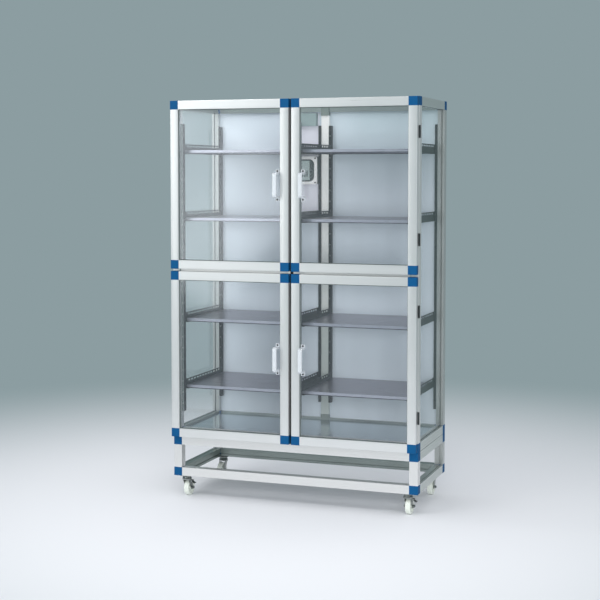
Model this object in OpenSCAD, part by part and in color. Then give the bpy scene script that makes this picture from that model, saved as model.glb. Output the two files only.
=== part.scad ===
/* [Cabinet] */
// Width of the cabinet frame
frame_w = 1200; // [1000:10:1440]
// Depth of the cabinet frame, without its doors
frame_d = 510; // [425:5:612]
// Height of the cabinet frame, without its base
frame_h = 1591; // [1326:1:1909]
// Height of the base frame
base_h = 191; // [159:1:230]

/* [Frame sections] */
// Outer size of a moulded corner block
block = 41; // [36:1:49]
// Width of the frame sections across their inner lip
section_w = 34; // [30:1:40]
// How far a corner block stands proud of the sections it joins
proud = 0.5; // [0.2:0.1:1]
// Wall of the hollow sections
wall = 2.2; // [1.8:0.1:3]
// Depth of the groove that holds a panel
groove = 6; // [4:0.5:7]
// Length of the spigot by which a block enters a section
spigot = 26; // [18:1:32]
// Radius of the outer edges of sections and blocks
edge_r = 2; // [1:0.5:3]
// Length of the collar of a centre tee block
tee_collar = 18; // [10:1:25]

/* [Panels] */
// Thickness of the clear frame panels
panel_t = 4; // [3:0.5:6]
// Distance from the outer face of the frame to a panel
panel_inset = 12; // [9:0.5:14]
// Thickness of the floor sheet
floor_t = 1.5; // [1:0.5:3]
// Height of the floor sheet's edges above the underside of the frame
floor_rise = 29.5; // [25:0.5:30]
// How far the pressed field of the floor sheet stands above its edges
floor_step = 1; // [0.5:0.1:1.2]
// Distance from the joint blocks to the field of the floor sheet
floor_margin = 0.5; // [0.2:0.1:3]

/* [Doors] */
// Thickness of a door
door_t = 26; // [22:1:32]
// Gap between a closed door and the frame
door_gap = 5; // [4:0.5:7]
// Gap between the two doors of a pair
pair_gap = 12; // [8:1:16]
// Gap between the upper and the lower pair
level_gap = 11; // [7:1:16]
// How far a door stops short of the frame's outer edge
edge_gap = 2; // [1:0.5:4]
// Distance from the front of a door to its clear panel
door_panel_y = 11; // [8:0.5:13]
// Thickness of a door's clear panel
door_panel_t = 4; // [3:0.5:6]
// Width of the door seal
seal_w = 10; // [7:1:12]
// Clearance between the door seal and the frame
seal_clear = 0.3; // [0.2:0.1:0.6]
// Distance from a door's outer edges to its seal
seal_inset_outer = 20; // [18:1:24]
// Distance from a door's edges next to another door to its seal
seal_inset_inner = 2.5; // [1.5:0.5:4]

/* [Handles] */
// Length of a handle over its feet
handle_l = 144; // [120:1:173]
// Width of a handle
handle_w = 18; // [14:1:24]
// Length of each screwed foot
handle_foot = 14; // [11:1:18]
// Thickness of a foot
handle_foot_t = 4; // [3:0.5:6]
// Thickness of the grip
grip_t = 9; // [7:0.5:11]
// How far the grip stands out from the front of the door
handle_proud = 38; // [30:1:46]
// Distance from the middle of a handle to the door section beside it
handle_inset = 15; // [13:1:34]
// Outer bend radius of the grip
grip_r = 15; // [12:1:18]

/* [Hinges] */
// Height of a hinge
hinge_h = 55; // [45:1:66]
// Distance from a door's end to the middle of its hinge
hinge_inset = 155; // [120:1:190]
// Outer radius of the knuckles
knuckle_r = 3.5; // [3:0.1:4]
// Radius of the hinge pin
pin_r = 2; // [1.5:0.1:2.2]
// Radial play between the pin and a knuckle
pin_play = 0.05; // [0.02:0.01:0.1]
// Distance from the frame's side to the hinge axis
hinge_out = 2.8; // [2.6:0.1:3.5]
// Thickness of a hinge leaf
leaf_t = 2; // [1.5:0.1:2.2]
// Width of a hinge leaf
leaf_w = 16; // [12:1:17]

/* [Shelves] */
// Distance between the slots of a standard
slot_pitch = 53.2; // [44:0.1:64]
// Height of the lowest slot above the underside of the frame
first_slot = 155.6; // [130:0.1:187]
// Distance from the top of the frame to the end of the standards
standard_top = 109; // [91:1:131]
// Slots under the lower shelves, counted up from the lowest
low_slots = [2, 8];
// Slots under the upper shelves, counted down from the highest
high_slots = [7, 1];
// How far a standard stands out from its post
standard_out = 13; // [11:0.5:15]
// Width of a standard
standard_w = 25; // [20:1:30]
// Sheet thickness of the standards and brackets
strip_t = 1.5; // [1:0.1:2]
// Height of a bracket above the shelf that it carries
bracket_rise = 28; // [26:1:34]
// Distance from the shelf top up to the slots that carry it
slot_rise = 20; // [17:1:22]
// Width of the bracket ledge under a shelf
ledge_w = 14; // [11:1:17]
// Height of the folded shelf edges
shelf_lip = 16; // [13:1:20]
// Sheet thickness of a shelf
shelf_t = 1.2; // [1:0.1:2]
// Play between a shelf and its brackets
shelf_play = 0.5; // [0.3:0.1:1.5]
// Distance from the frame front to the front edge of the shelves
shelf_front = 44; // [42:1:60]
// Distance from the frame back to the rear edge of the shelves
shelf_back = 21; // [20:1:40]

/* [Dryer] */
// Width of the dryer case
dryer_w = 176; // [147:1:200]
// Height of the dryer case
dryer_h = 131; // [110:1:157]
// Depth of the dryer case
dryer_d = 44; // [37:1:53]
// Width of the rim round the dryer's opening
dryer_rim = 11; // [8:1:14]
// Distance from the centre post to the dryer case
dryer_side = 15; // [14:1:40]
// Height of the control box
control_h = 62; // [50:1:74]

/* [Castors] */
// Diameter of a castor wheel
wheel_d = 75; // [63:1:80]
// Width of a castor wheel
wheel_w = 24; // [20:1:28]
// Overall height of a castor
castor_h = 102; // [100:1:122]
// Distance from the swivel axis to the axle
trail = 24; // [20:1:29]
// Distance from the frame's side to the swivel axis
castor_in_x = 53; // [46:1:64]
// Distance from the frame's front or back to the swivel axis
castor_in_y = 32; // [27:1:38]
// Side of the castor's top plate
plate_w = 50; // [44:1:56]
// Radius of the axle
axle_r = 4; // [3:0.1:5]
// Radial play between axle and wheel, and between kingpin and fork
axle_play = 0.08; // [0.02:0.01:0.1]
// Thickness of a fork leg
leg_t = 2.5; // [2:0.1:3.5]
// Gap between a wheel and a fork leg
leg_gap = 1.5; // [1:0.1:2.5]

/* [Hidden] */
$fn = 48;

LEFT = -1;
RIGHT = 1;
LOWER = 0;
UPPER = 1;
FRONT = -1;
REAR = 1;
EPS = 0.01;

// Overall layout: the origin is on the floor, in the middle of the bounding box
overall_d = handle_proud + door_t + door_gap + frame_d;
door_y = -overall_d / 2 + handle_proud;
front_y = door_y + door_t + door_gap;
back_y = front_y + frame_d;
mid_y = (front_y + back_y) / 2;
half_w = frame_w / 2;
bottom_z = castor_h + base_h;
top_z = bottom_z + frame_h;
mid_z = (bottom_z + top_z) / 2;

// Frame sections
lip = groove + 3;
chamber_w = section_w - wall - lip;
chamber_h = block - 2 * proud - wall - lip;
rail_h = block - 2 * proud;
post_half = block / 2 - proud;
line_w = 1.4;
line_d = 0.6;
post_inner_x = half_w - proud - section_w;

// Doors
door_w = half_w - edge_gap - pair_gap / 2;
door_h = (frame_h - 2 * edge_gap - level_gap) / 2;
seal_t = door_gap - seal_clear;
joint_gap = 0.3;

// Shelving
web_side_x = post_inner_x - standard_out;
web_centre_x = post_half + standard_out;
standard_z0 = first_slot - slot_pitch * 0.7;
slot_span = frame_h - standard_top - first_slot;
slot_count = floor(slot_span / slot_pitch) + 1;
shelf_slots = [low_slots[0], low_slots[1],
               slot_count - 1 - high_slots[0], slot_count - 1 - high_slots[1]];
slot_h = 14;
slot_w = 5;
standard_front_y = front_y + block - standard_w - 2;
standard_back_y = back_y - panel_inset - panel_t - standard_w;
shelf_x0 = web_centre_x + strip_t + shelf_play;
shelf_x1 = web_side_x - strip_t - shelf_play;

// Castors
wheel_r = wheel_d / 2;
leg_x = wheel_w / 2 + leg_gap;
plate_t = 3;
crown_t = 6;
crown_r = norm([leg_x + leg_t, 15]) + 0.5;
crown_z = wheel_d + 5;
race_gap = 0.3;
kingpin_r = 5;
kingpin_head_t = 3;
axle_head_t = 4;

// ---------- helpers ----------

module flip(axis, s) {
    if (s < 0) mirror(axis) children();
    else children();
}

// Children are drawn with the outer corner of the box at the origin
module at_corner(centre, half, sx, sy, sz) {
    translate([centre.x + sx * half.x, centre.y + sy * half.y, centre.z + sz * half.z])
        flip([1, 0, 0], sx) flip([0, 1, 0], sy) flip([0, 0, 1], sz) children();
}

module at_all_corners(centre, half) {
    for (sx = [-1, 1], sy = [-1, 1], sz = [-1, 1])
        at_corner(centre, half, sx, sy, sz) children();
}

function shelf_z(i) = bottom_z + first_slot + shelf_slots[i] * slot_pitch - slot_rise;

// Point where a line from p touches a circle, on the side given by s
function tangent_point(p, c, r, s) =
    let (a = atan2(p.y - c.y, p.x - c.x) + s * acos(r / norm(p - c)))
    c + r * [cos(a), sin(a)];

// ---------- hollow sections and their joint blocks ----------

// Rectangle with its outer corner at the origin, rounded there
module corner_profile(w, h) {
    difference() {
        translate([-w, -h]) square([w, h]);
        difference() {
            translate([-edge_r, -edge_r]) square(edge_r + 1);
            translate([-edge_r, -edge_r]) circle(edge_r);
        }
    }
}

// Hollow section: thin outer walls, and thick lips towards the panels
module frame_section(w, h) {
    difference() {
        corner_profile(w, h);
        translate([-wall - chamber_w, -wall - (h - wall - lip)])
            square([chamber_w, h - wall - lip]);
        face_grooves(w, h);
    }
}

// Fine lines along the two outer faces of a section
module face_grooves(w, h) {
    for (t = [0.32, 0.68]) {
        translate([-w * t - line_w / 2, -line_d]) square([line_w, line_d + 1]);
        translate([-line_d, -h * t - line_w / 2]) square([line_d + 1, line_w]);
    }
}

module bar_z(l) {
    translate([0, 0, -l]) linear_extrude(l) children();
}

module bar_y(l) {
    rotate([90, 0, 0]) linear_extrude(l) children();
}

module bar_x(l) {
    translate([-l, 0, 0]) rotate([90, 0, 90]) linear_extrude(l) children();
}

// Cube with its outer corner at the origin and rounded outer edges
module rounded_block(x, y, z) {
    intersection() {
        bar_z(z) corner_profile(x, y);
        bar_y(y) corner_profile(x, z);
        bar_x(x) corner_profile(y, z);
    }
}

// Three-way corner block with the spigots that fill the ends of its sections
module corner_block(depth_x, depth_y) {
    w = wall + proud;
    rounded_block(block, block, block);
    translate([-w - depth_x, -w - chamber_h, -block - spigot])
        cube([depth_x, chamber_h, spigot + EPS]);
    translate([-w - depth_x, -block - spigot, -w - chamber_h])
        cube([depth_x, spigot + EPS, chamber_h]);
    translate([-block - spigot, -w - depth_y, -w - chamber_h])
        cube([spigot + EPS, depth_y, chamber_h]);
}

module corner_block_set(z0, h, depth) {
    at_all_corners([0, mid_y, z0 + h / 2], [half_w, frame_d / 2, h / 2])
        corner_block(depth, depth);
}

// Centre tee block: it joins two rails and the centre post, drawn for the top
module tee_block(side) {
    y = side == FRONT ? front_y + proud : back_y;
    d = block - (side == FRONT ? proud : 0);
    wy = side == FRONT ? wall : wall + proud;
    outer_y = side == FRONT ? y + wy : y - wy - chamber_w;
    translate([-post_half, side == FRONT ? y : y - d, -block - tee_collar])
        cube([2 * post_half, d, block + tee_collar]);
    for (s = [LEFT, RIGHT])
        translate([s > 0 ? post_half - EPS : -post_half - spigot, outer_y, -wall - proud - chamber_h])
            cube([spigot + EPS, chamber_w, chamber_h]);
    translate([-post_half + lip, outer_y, -block - tee_collar - spigot])
        cube([2 * (post_half - lip), chamber_w, spigot + EPS]);
}

// ---------- panels of the frame ----------

module side_panel_plate() {
    y = rail_h + proud - groove;
    translate([half_w - panel_inset - panel_t, front_y + y, bottom_z + y])
        cube([panel_t, frame_d - 2 * y, frame_h - 2 * y]);
}

module back_panel_plate() {
    m = rail_h + proud - groove;
    translate([post_half - groove, back_y - panel_inset - panel_t, bottom_z + m])
        cube([post_inner_x - post_half + 2 * groove, panel_t, frame_h - 2 * m]);
}

module level_plate(z, t) {
    x = post_inner_x + groove;
    y = front_y + proud + section_w - groove;
    translate([-x, y, z]) cube([2 * x, back_y - proud - section_w + groove - y, t]);
}

module floor_plate() {
    level_plate(bottom_z + floor_rise, floor_t);
}

module top_plate() {
    level_plate(top_z - panel_inset - panel_t, panel_t);
}

module all_panel_plates() {
    for (s = [LEFT, RIGHT]) flip([1, 0, 0], s) {
        side_panel_plate();
        back_panel_plate();
    }
    floor_plate();
    top_plate();
}

module joint_block_bodies() {
    at_all_corners([0, mid_y, mid_z], [half_w, frame_d / 2, frame_h / 2])
        translate([-block, -block, -block]) cube(block);
    all_tee_blocks();
}

module side_panels() {
    color([0.72, 0.82, 0.86, 0.35]) difference() {
        for (s = [LEFT, RIGHT]) flip([1, 0, 0], s) side_panel_plate();
        joint_block_bodies();
    }
}

module back_panels() {
    color([0.72, 0.82, 0.86, 0.35]) difference() {
        for (s = [LEFT, RIGHT]) flip([1, 0, 0], s) back_panel_plate();
        joint_block_bodies();
    }
}

module top_panel() {
    color([0.72, 0.82, 0.86, 0.35]) difference() {
        top_plate();
        joint_block_bodies();
    }
}

// Rectangle inside the joint blocks, seen from above, shrunk by e all round
module floor_field(e) {
    x = half_w - block - floor_margin - e;
    y = frame_d / 2 - block - floor_margin - e;
    translate([-x, mid_y - y]) square([2 * x, 2 * y]);
}

// The edges of the sheet lie in the grooves, and its field is pressed up between the blocks
module floor_panel() {
    z = bottom_z + floor_rise;
    color("lightgray") difference() {
        union() {
            floor_plate();
            translate([0, 0, z]) linear_extrude(floor_t + floor_step) floor_field(0);
        }
        translate([0, 0, z - 1]) linear_extrude(1 + floor_step) floor_field(floor_t);
        joint_block_bodies();
    }
}

// ---------- frame ----------

module corner_posts() {
    color("gainsboro") difference() {
        for (sx = [-1, 1], sy = [-1, 1])
            at_corner([0, mid_y, mid_z], [half_w, frame_d / 2, frame_h / 2], sx, sy, 1)
                translate([-proud, -proud, -block]) bar_z(frame_h - 2 * block)
                    frame_section(section_w, rail_h);
        all_panel_plates();
    }
}

// Section of a centre post, with its outer face on y = 0
module centre_section() {
    difference() {
        translate([-post_half, 0]) square([2 * post_half, section_w]);
        translate([-post_half + lip, wall]) square([2 * (post_half - lip), chamber_w]);
    }
}

module centre_posts() {
    z = block + tee_collar;
    color("gainsboro") difference() {
        translate([0, 0, bottom_z + z]) {
            translate([0, front_y + proud, 0]) linear_extrude(frame_h - 2 * z) centre_section();
            translate([0, back_y - proud, 0]) mirror([0, 1, 0])
                linear_extrude(frame_h - 2 * z) centre_section();
        }
        all_panel_plates();
    }
}

module frame_rails() {
    run_x = half_w - block - post_half;
    color("gainsboro") {
        difference() {
            at_all_corners([0, mid_y, mid_z], [half_w, frame_d / 2, frame_h / 2])
                translate([-block, -proud, -proud]) bar_x(run_x) frame_section(section_w, rail_h);
            all_panel_plates();
        }
        difference() {
            for (sx = [-1, 1], sz = [-1, 1])
                at_corner([0, mid_y, mid_z], [half_w, frame_d / 2, frame_h / 2], sx, 1, sz)
                    translate([-proud, -block, -proud]) bar_y(frame_d - 2 * block)
                        frame_section(section_w, rail_h);
            all_panel_plates();
        }
        for (s = [LEFT, RIGHT]) flip([1, 0, 0], s) mid_rail();
    }
}

// Rail behind the gap between the upper and the lower doors, notched round the standards
module mid_rail() {
    l = post_inner_x - post_half;
    y = standard_front_y - front_y - proud;
    translate([post_half, front_y + proud, mid_z - rail_h / 2]) difference() {
        cube([l, section_w, rail_h]);
        translate([-1, wall, wall]) cube([l + 2, section_w - 2 * wall, rail_h - 2 * wall]);
        for (x = [-1, l - standard_out])
            translate([x, y, -1]) cube([standard_out + 1, section_w, rail_h + 2]);
    }
}

module frame_joint_blocks() {
    color("steelblue") corner_block_set(bottom_z, frame_h, chamber_w);
}

module all_tee_blocks() {
    for (sz = [-1, 1]) translate([0, 0, mid_z]) flip([0, 0, 1], sz) translate([0, 0, frame_h / 2])
        for (side = [FRONT, REAR]) tee_block(side);
}

module centre_tee_blocks() {
    color("silver") all_tee_blocks();
}

// Soft strip on the front centre post, seen in the gap between the left and the right doors
module centre_seal() {
    w = pair_gap + 2;
    t = 2;
    color("black") translate([-w / 2, front_y + proud - t, bottom_z + edge_gap])
        cube([w, t, frame_h - 2 * edge_gap]);
}

// ---------- base ----------

module base_posts() {
    l = base_h - 2 * block;
    color("gainsboro") for (sx = [-1, 1], sy = [-1, 1])
        at_corner([0, mid_y, castor_h + base_h / 2], [half_w, frame_d / 2, base_h / 2], sx, sy, 1)
            translate([-proud, -proud, -block]) bar_z(l) base_section();
}

// The frame's section with its two panel grooves left open
module base_section() {
    g = panel_inset - proud + panel_t;
    difference() {
        corner_profile(rail_h, rail_h);
        translate([-wall - chamber_h, -wall - chamber_h]) square(chamber_h);
        translate([-g, -rail_h - 1]) square([panel_t, groove + 1]);
        translate([-rail_h - 1, -g]) square([groove + 1, panel_t]);
        face_grooves(rail_h, rail_h);
    }
}

module base_rails() {
    centre = [0, mid_y, castor_h + base_h / 2];
    half = [half_w, frame_d / 2, base_h / 2];
    color("gainsboro") for (sz = [-1, 1]) {
        for (sy = [-1, 1]) at_corner(centre, half, 1, sy, sz)
            translate([-block, -proud, -proud]) bar_x(frame_w - 2 * block) base_section();
        for (sx = [-1, 1]) at_corner(centre, half, sx, 1, sz)
            translate([-proud, -block, -proud]) bar_y(frame_d - 2 * block) base_section();
    }
}

module base_corner_blocks() {
    color("steelblue") corner_block_set(castor_h, base_h, chamber_h);
}

// ---------- shelving ----------

// Slotted channel, drawn with its open side on x = 0 and its web at x = -standard_out
module standard() {
    l = frame_h - standard_top - standard_z0;
    difference() {
        translate([-standard_out, 0, 0]) cube([standard_out, standard_w, l]);
        translate([-standard_out + strip_t, strip_t, -1])
            cube([standard_out, standard_w - 2 * strip_t, l + 2]);
        for (i = [0 : slot_count - 1]) translate([0, 0, first_slot - standard_z0 + i * slot_pitch]) {
            translate([-standard_out - 1, (standard_w - slot_w) / 2, -slot_h / 2])
                cube([strip_t + 2, slot_w, slot_h]);
            translate([-standard_out * 0.68, -1, -slot_h / 4])
                cube([slot_w - 1, strip_t + 2, slot_h / 2]);
        }
    }
}

module shelf_standards() {
    color("silver") for (s = [LEFT, RIGHT]) flip([1, 0, 0], s)
        for (y = [standard_front_y, standard_back_y])
            translate([0, y, bottom_z + standard_z0]) {
                translate([post_inner_x, 0, 0]) standard();
                translate([post_half, 0, 0]) mirror([1, 0, 0]) standard();
            }
}

// Slotted shelf bracket, drawn with its web against x = 0 and its ledge towards -x
module bracket() {
    y0 = standard_front_y + standard_w / 2 - 6;
    y1 = standard_back_y + standard_w / 2 + 6;
    window = 22;
    step = 33;
    count = floor((y1 - y0 - 2 * window) / step);
    margin = (y1 - y0 - (count - 1) * step - window) / 2;
    low = -shelf_lip - strip_t;
    difference() {
        translate([-strip_t, y0, low]) cube([strip_t, y1 - y0, bracket_rise - low]);
        for (i = [0 : count - 1])
            translate([-strip_t - 1, y0 + margin + i * step, bracket_rise - 13])
                cube([strip_t + 2, window, 8]);
    }
    translate([-strip_t - ledge_w, y0 + 12, low]) cube([ledge_w + EPS, y1 - y0 - 24, strip_t]);
    for (y = [y0 + 6, y1 - 6])
        translate([-EPS, y - slot_w / 2 + 0.5, slot_rise - slot_h / 2 + 1])
            cube([strip_t + 3, slot_w - 1, slot_h - 2]);
}

module shelf_brackets() {
    color("slategray") for (s = [LEFT, RIGHT]) flip([1, 0, 0], s)
        for (i = [0 : 3]) translate([0, 0, shelf_z(i)]) {
            translate([web_side_x, 0, 0]) bracket();
            translate([web_centre_x, 0, 0]) mirror([1, 0, 0]) bracket();
        }
}

// Folded sheet tray with two stiffening hats, top face on z = 0
module shelf_tray() {
    w = shelf_x1 - shelf_x0;
    y0 = front_y + shelf_front;
    d = back_y - shelf_back - y0;
    hat_w = 40;
    translate([shelf_x0, y0, 0]) {
        difference() {
            translate([0, 0, -shelf_lip]) cube([w, d, shelf_lip]);
            translate([shelf_t, shelf_t, -shelf_lip - 1])
                cube([w - 2 * shelf_t, d - 2 * shelf_t, shelf_lip + 1 - shelf_t]);
        }
        for (y = [d / 3, 2 * d / 3]) translate([shelf_t, y - hat_w / 2, -shelf_t]) difference() {
            translate([0, 0, -10]) cube([w - 2 * shelf_t, hat_w, 10 + EPS]);
            translate([-1, shelf_t, -10 + shelf_t]) cube([w + 2, hat_w - 2 * shelf_t, 10]);
        }
    }
}

module shelf_pair(i) {
    color("lightsteelblue") for (s = [LEFT, RIGHT]) flip([1, 0, 0], s)
        translate([0, 0, shelf_z(i)]) shelf_tray();
}

// ---------- dryer on the back of the left compartment ----------

dryer_x1 = -post_half - dryer_side;
dryer_x0 = dryer_x1 - dryer_w;
dryer_y = back_y - panel_inset - panel_t;
dryer_top = shelf_z(3) - shelf_lip - strip_t - 12;
dryer_plate_t = 2;
control_top = top_z - block - 6;
core_w = dryer_w * 0.48;

module rounded_rect(w, h, r) {
    difference() {
        square([w, h], center = true);
        for (sx = [-1, 1], sy = [-1, 1]) translate([sx * w / 2, sy * h / 2]) difference() {
            square(2 * r, center = true);
            translate([-sx * r, -sy * r]) circle(r);
        }
    }
}

module dryer_mounting_plate() {
    z0 = shelf_z(2) + 6;
    color("whitesmoke") translate([dryer_x0, dryer_y - dryer_plate_t, z0])
        cube([dryer_w, dryer_plate_t, control_top - z0]);
}

// Open-fronted case: its rear wall carries the core and the curved guide vanes
module dryer_case() {
    depth = dryer_d - dryer_plate_t;
    wall_t = 3;
    z0 = dryer_top - dryer_h;
    vane_r = 60;
    color("darkslategray") translate([dryer_x0, dryer_y - dryer_d, z0]) {
        difference() {
            cube([dryer_w, depth, dryer_h]);
            translate([wall_t, -1, wall_t])
                cube([dryer_w - 2 * wall_t, depth - wall_t + 1, dryer_h - 2 * wall_t]);
        }
        intersection() {
            translate([core_w + 8, 6, wall_t - EPS])
                cube([dryer_w - core_w - wall_t - 8 + EPS, depth - 6, dryer_h - 2 * wall_t + 2 * EPS]);
            for (i = [0 : 5]) translate([core_w + 20, 0, 26 + i * 17]) rotate([-90, 0, 0])
                linear_extrude(depth) difference() {
                    circle(vane_r + 1.5);
                    circle(vane_r);
                }
        }
    }
}

// Sorbent core with three vent slots
module dryer_core() {
    h = dryer_h - 2 * dryer_rim - 14;
    d = dryer_d - dryer_plate_t - 3 - 6;
    w = core_w - dryer_rim - 6;
    y = dryer_y - dryer_plate_t - 3 - d;
    color("lightslategray")
        translate([dryer_x0 + dryer_rim + 6, y, dryer_top - dryer_rim - 7 - h])
            difference() {
                cube([w, d, h]);
                for (i = [0 : 2]) translate([w * (0.16 + 0.26 * i), -1, 10])
                    cube([w * 0.11, 13, h * 0.3]);
            }
}

module dryer_bezel() {
    t = 7;
    color("white") translate([dryer_x0 + dryer_w / 2, dryer_y - dryer_d, dryer_top - dryer_h / 2])
        rotate([90, 0, 0]) linear_extrude(t) difference() {
            rounded_rect(dryer_w + 6, dryer_h + 6, 12);
            rounded_rect(dryer_w - 2 * dryer_rim, dryer_h - 2 * dryer_rim, 26);
        }
}

module dryer_control_box() {
    d = 28;
    color("silver") translate([dryer_x0, dryer_y - dryer_plate_t - d, control_top - control_h])
        cube([dryer_w - 8, d, control_h]);
}

// ---------- doors, drawn as the right door ----------

module place_door(side, level) {
    z = bottom_z + edge_gap + level * (door_h + level_gap);
    flip([1, 0, 0], side) translate([half_w - edge_gap, door_y, z]) children();
}

// Hollow door section: outer edge on x = 0, front on y = 0, panel groove on the inner edge
module door_section() {
    mirror([0, 1]) difference() {
        corner_profile(rail_h, door_t - proud);
        translate([-wall - chamber_h, -door_t + proud + wall])
            square([chamber_h, door_t - proud - 2 * wall]);
        translate([-rail_h - 1, -door_panel_y + proud - door_panel_t]) square([groove + 1, door_panel_t]);
        translate([-rail_h + 5, -0.8]) square([1.2, 2]);
    }
}

module door_frame(side, level) {
    color("gainsboro") place_door(side, level) {
        for (s = [0, 1]) translate([s ? -door_w : 0, 0, block]) mirror([s, 0, 0])
            translate([-proud, proud, 0]) linear_extrude(door_h - 2 * block) door_section();
        for (s = [0, 1]) translate([0, 0, s ? door_h : 0]) mirror([0, 0, s]) {
            // The section's outer edge turns to the door's end, and it runs across the door
            translate([-block, proud, proud]) rotate([0, -90, 0]) linear_extrude(door_w - 2 * block)
                mirror([1, 0]) door_section();
        }
    }
}

module door_corner_block() {
    depth = door_t - proud - 2 * wall;
    w = wall + proud;
    mirror([0, 1, 0]) rounded_block(block, door_t, block);
    translate([-w - chamber_h, w, -block - spigot]) cube([chamber_h, depth, spigot + EPS]);
    translate([-block - spigot, w, -w - chamber_h]) cube([spigot + EPS, depth, chamber_h]);
}

module door_corners(side, level) {
    color("steelblue") place_door(side, level)
        for (sx = [0, 1], sz = [0, 1])
            translate([sx ? -door_w : 0, 0, sz ? door_h : 0]) mirror([sx, 0, 0]) mirror([0, 0, 1 - sz])
                door_corner_block();
}

module door_panel(side, level) {
    m = rail_h + proud - groove;
    c = block - m + EPS;
    color([0.75, 0.84, 0.88, 0.35]) place_door(side, level) translate([-door_w + m, door_panel_y, m])
        difference() {
            cube([door_w - 2 * m, door_panel_t, door_h - 2 * m]);
            for (x = [0, door_w - 2 * m], z = [0, door_h - 2 * m])
                translate([x, door_panel_t / 2, z]) cube([2 * c, door_panel_t + 1, 2 * c], center = true);
        }
}

// Four straight strips of soft seal on the back of the door
module door_seal(side, level) {
    low = level == LOWER ? seal_inset_outer : seal_inset_inner;
    high = level == UPPER ? seal_inset_outer : seal_inset_inner;
    x0 = -door_w + seal_inset_inner;
    x1 = -seal_inset_outer;
    z1 = door_h - high;
    color("black") place_door(side, level) translate([0, door_t, 0]) {
        for (x = [x0, x1 - seal_w]) translate([x, 0, low]) cube([seal_w, seal_t, z1 - low]);
        for (z = [low, z1 - seal_w]) translate([x0 + seal_w + joint_gap, 0, z])
            cube([x1 - x0 - 2 * seal_w - 2 * joint_gap, seal_t, seal_w]);
    }
}

// Side outline of the handle: y runs from the panel outwards, x along the handle
module handle_outline() {
    reach = handle_proud + door_panel_y;
    arch = handle_l - 2 * handle_foot;
    inner_r = grip_r - grip_t;
    translate([-handle_l / 2, 0]) square([handle_l, handle_foot_t]);
    difference() {
        union() {
            translate([-arch / 2, 0]) square([arch, reach - grip_r]);
            translate([-arch / 2 + grip_r, 0]) square([arch - 2 * grip_r, reach]);
            for (s = [-1, 1]) translate([s * (arch / 2 - grip_r), reach - grip_r]) circle(grip_r);
        }
        translate([-arch / 2 + grip_t, -1]) square([arch - 2 * grip_t, reach - grip_r + 1]);
        translate([-arch / 2 + grip_r, -1]) square([arch - 2 * grip_r, reach - grip_t + 1]);
        for (s = [-1, 1]) translate([s * (arch / 2 - grip_r), reach - grip_r]) circle(inner_r);
    }
}

module door_handle(side, level) {
    arch = handle_l - 2 * handle_foot;
    color("white") place_door(side, level)
        translate([-door_w + block + handle_inset, door_panel_y, door_h / 2]) difference() {
            rotate([0, 90, 0]) mirror([0, 1, 0]) translate([0, 0, -handle_w / 2])
                linear_extrude(handle_w) handle_outline();
            // The middle of the foot strip is open under the grip
            translate([-handle_w / 2 - 1, -handle_foot_t - EPS, -arch / 2 + grip_t])
                cube([handle_w + 2, handle_foot_t + 1, arch - 2 * grip_t]);
        }
}

// ---------- hinges ----------

hinge_x = edge_gap + hinge_out;
hinge_y = door_t + door_gap / 2;
knuckle_l = (hinge_h - 0.6) / 3;

module at_hinges(side, level) {
    place_door(side, level) for (z = [hinge_inset, door_h - hinge_inset])
        translate([hinge_x, hinge_y, z - hinge_h / 2]) children();
}

// One knuckle with the tongue that joins it to its leaf, from z = 0
module knuckle(leaf_y) {
    difference() {
        union() {
            cylinder(r = knuckle_r, h = knuckle_l);
            translate([-hinge_x + 0.6, leaf_y, 0]) cube([hinge_x - 0.6, leaf_t, knuckle_l]);
        }
        translate([0, 0, -1]) cylinder(r = pin_r + pin_play, h = knuckle_l + 2);
    }
}

module leaf_plate(leaf_y) {
    translate([-hinge_x - leaf_w, leaf_y, 0]) cube([leaf_w + 0.6 + EPS, leaf_t, hinge_h]);
}

module frame_hinge_leaves() {
    y = door_gap / 2 - leaf_t;
    color("dimgray") for (side = [LEFT, RIGHT], level = [LOWER, UPPER]) at_hinges(side, level) {
        translate([0, y - (door_gap / 2 - leaf_t), 0]) {
            leaf_plate(door_gap / 2 - leaf_t);
            knuckle(door_gap / 2 - leaf_t);
            translate([0, 0, hinge_h - knuckle_l]) knuckle(door_gap / 2 - leaf_t);
        }
        translate([0, 0, -1]) cylinder(r = pin_r, h = hinge_h + 2);
    }
}

module door_hinges(side, level) {
    color("dimgray") at_hinges(side, level) {
        leaf_plate(-door_gap / 2);
        translate([0, 0, knuckle_l + 0.3]) knuckle(-door_gap / 2);
    }
}

// ---------- castors, drawn round the swivel axis with the floor at z = 0 ----------

module place_castor(sx, sy) {
    translate([sx * (half_w - castor_in_x), sy < 0 ? front_y + castor_in_y : back_y - castor_in_y, 0])
        flip([0, 1, 0], -sy) children();
}

module castor_plates() {
    race_z = crown_z + crown_t + race_gap;
    color("silver") for (sx = [LEFT, RIGHT], sy = [FRONT, REAR]) place_castor(sx, sy) difference() {
        union() {
            translate([-plate_w / 2, -plate_w / 2, castor_h - plate_t]) cube([plate_w, plate_w, plate_t]);
            translate([0, 0, race_z]) rotate_extrude() race_profile(castor_h - plate_t - race_z);
            translate([0, 0, crown_z - race_gap])
                cylinder(r = kingpin_r, h = race_z - crown_z + 2 * race_gap);
            translate([0, 0, crown_z - race_gap - kingpin_head_t])
                cylinder(r1 = kingpin_r + 1, r2 = kingpin_r + 2.5, h = kingpin_head_t);
        }
        for (x = [-1, 1], y = [-1, 1])
            translate([x * (plate_w / 2 - 7), y * (plate_w / 2 - 7), castor_h - plate_t - 1])
                cylinder(r = 3, h = plate_t + 2);
    }
}

module race_profile(h) {
    polygon([[0, 0], [crown_r - 3, 0], [crown_r - 1, 3], [crown_r - 6, h], [0, h + EPS]]);
}

leg_top = [14, crown_z + crown_t - 1];
brake_y = 12;
brake_pivot = [leg_x + leg_t + 5, crown_z - 9];

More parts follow.
